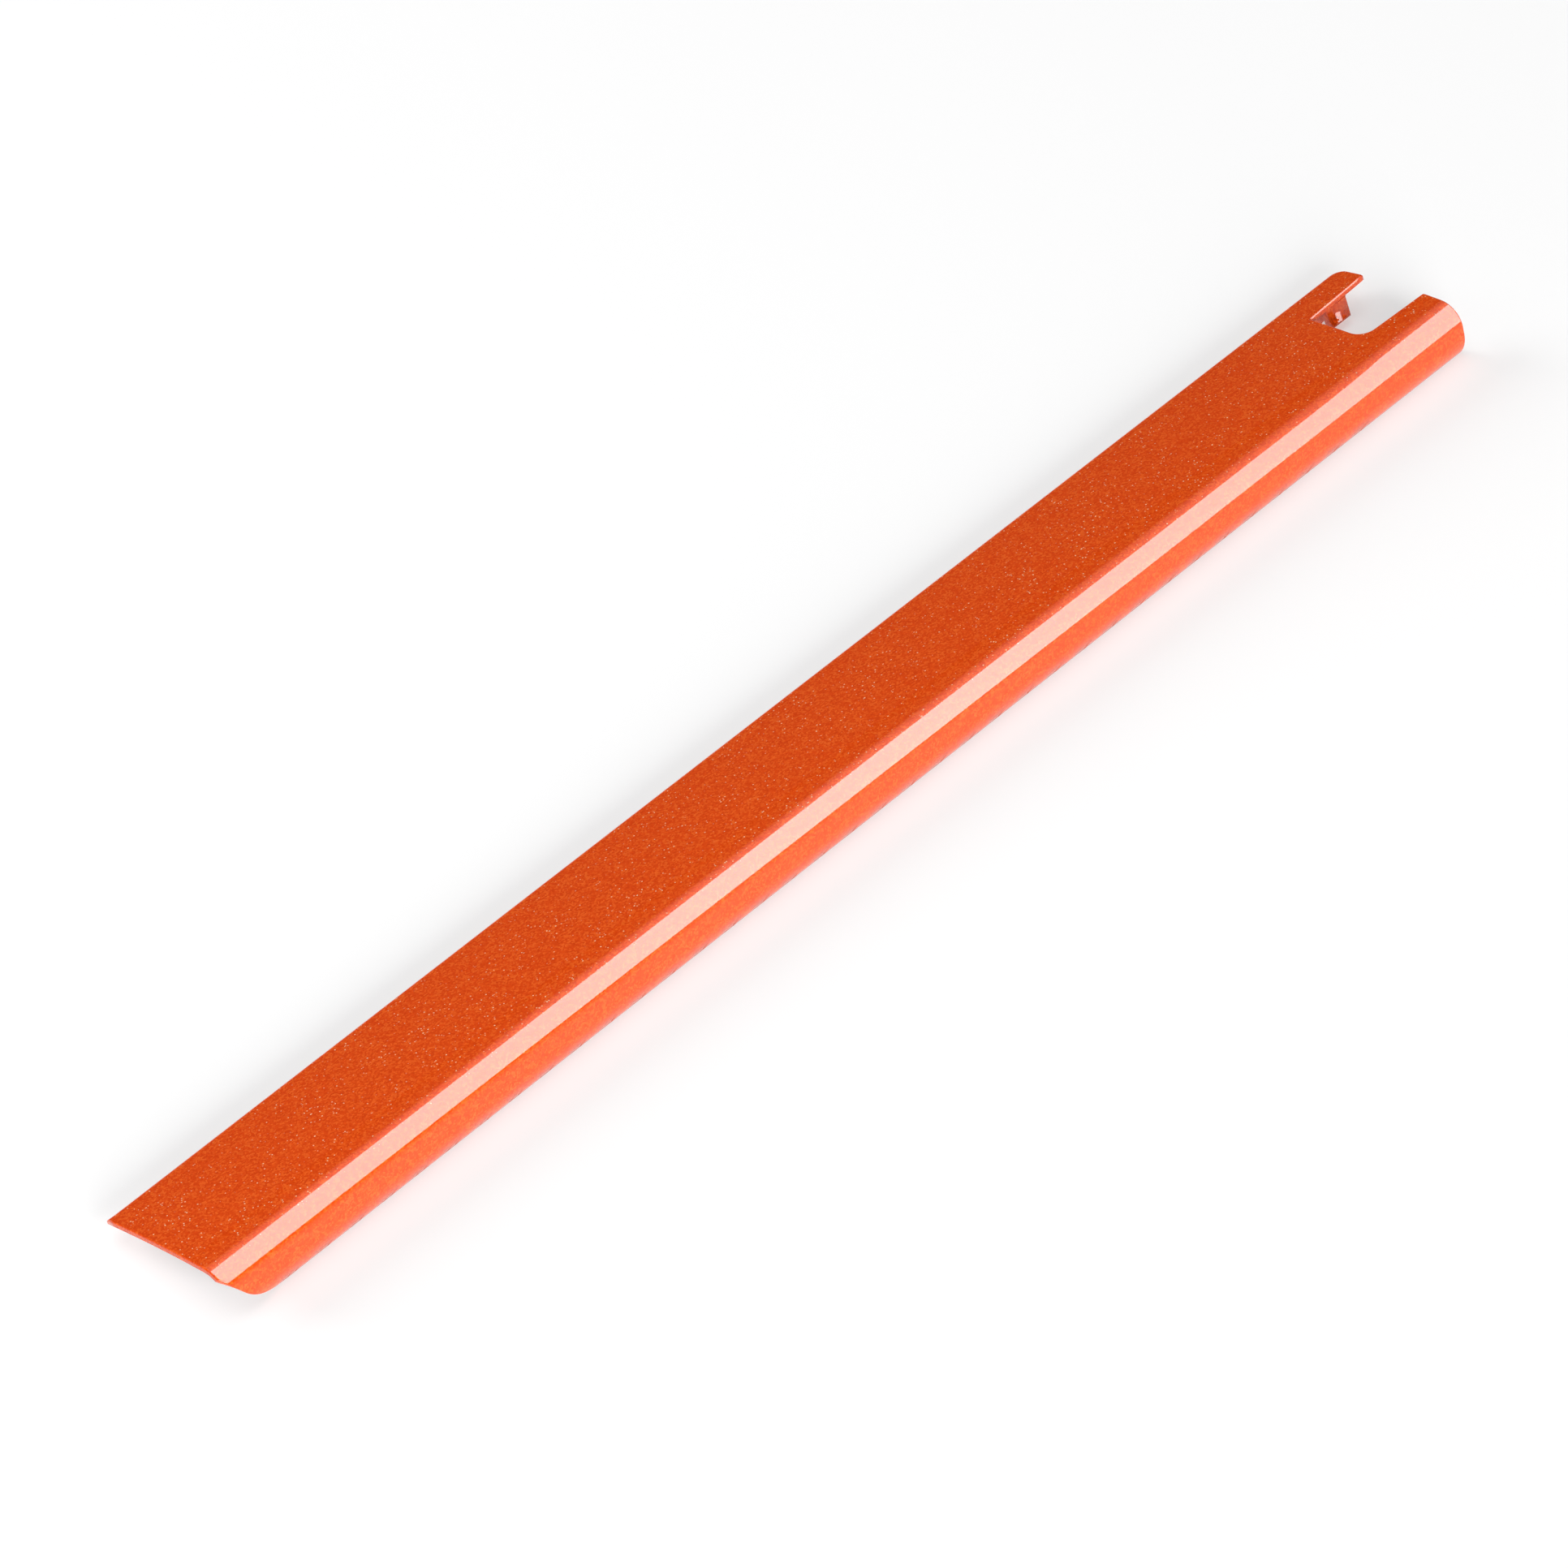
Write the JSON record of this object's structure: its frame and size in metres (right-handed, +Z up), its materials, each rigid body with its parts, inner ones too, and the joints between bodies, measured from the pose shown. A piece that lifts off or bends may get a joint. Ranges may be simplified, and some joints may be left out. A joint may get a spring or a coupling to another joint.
{
  "type": "trim cover strip",
  "caption": "Clipped painted trim cover strip with a rolled edge, notched end, edge hooks, floating spring clips and locating pins.",
  "frame": {"origin": "middle of the strip's footprint on the plane that its curled foot and its hooks' webs rest on", "axes": "+X along the strip from the raked end to the notched end, +Y from the rolled side to the plain edge, +Z up, away from the support plane"},
  "size_m": [0.5, 0.0488, 0.0164],
  "materials": {
    "body_paint": "metallic orange paint under gloss clearcoat on moulded plastic",
    "black_moulding": "glass-filled black nylon, fine grain",
    "spring_steel": "zinc-flake coated spring steel, satin",
    "foam_seal": "closed-cell foam, matte",
    "felt_tape": "non-woven felt, matte"
  },
  "bodies": {
    "cover": {"cover_shell": "body_paint", "end_hook": "body_paint", "edge_hook_1": "body_paint", "edge_hook_2": "body_paint", "edge_hook_3": "body_paint", "edge_hook_4": "body_paint", "clip_tower_1": "black_moulding", "clip_tower_2": "black_moulding", "clip_tower_3": "black_moulding", "clip_tower_4": "black_moulding", "clip_tower_5": "black_moulding", "datum_pin": "black_moulding", "guide_pin": "black_moulding", "edge_seal": "foam_seal", "felt_strip": "felt_tape"},
    "clip_1": {"spring_clip_1": "spring_steel"},
    "clip_2": {"spring_clip_2": "spring_steel"},
    "clip_3": {"spring_clip_3": "spring_steel"},
    "clip_4": {"spring_clip_4": "spring_steel"},
    "clip_5": {"spring_clip_5": "spring_steel"}
  },
  "joints": [
    {"name": "clip_1_float", "type": "slide", "parent": "cover", "child": "clip_1", "axis": [1, 0, 0], "range_m": [-0.0015, 0.0015]},
    {"name": "clip_2_float", "type": "slide", "parent": "cover", "child": "clip_2", "axis": [1, 0, 0], "range_m": [-0.0015, 0.0015]},
    {"name": "clip_3_float", "type": "slide", "parent": "cover", "child": "clip_3", "axis": [1, 0, 0], "range_m": [-0.0015, 0.0015]},
    {"name": "clip_4_float", "type": "slide", "parent": "cover", "child": "clip_4", "axis": [1, 0, 0], "range_m": [-0.0015, 0.0015]},
    {"name": "clip_5_float", "type": "slide", "parent": "cover", "child": "clip_5", "axis": [1, 0, 0], "range_m": [-0.0015, 0.0015]}
  ]
}
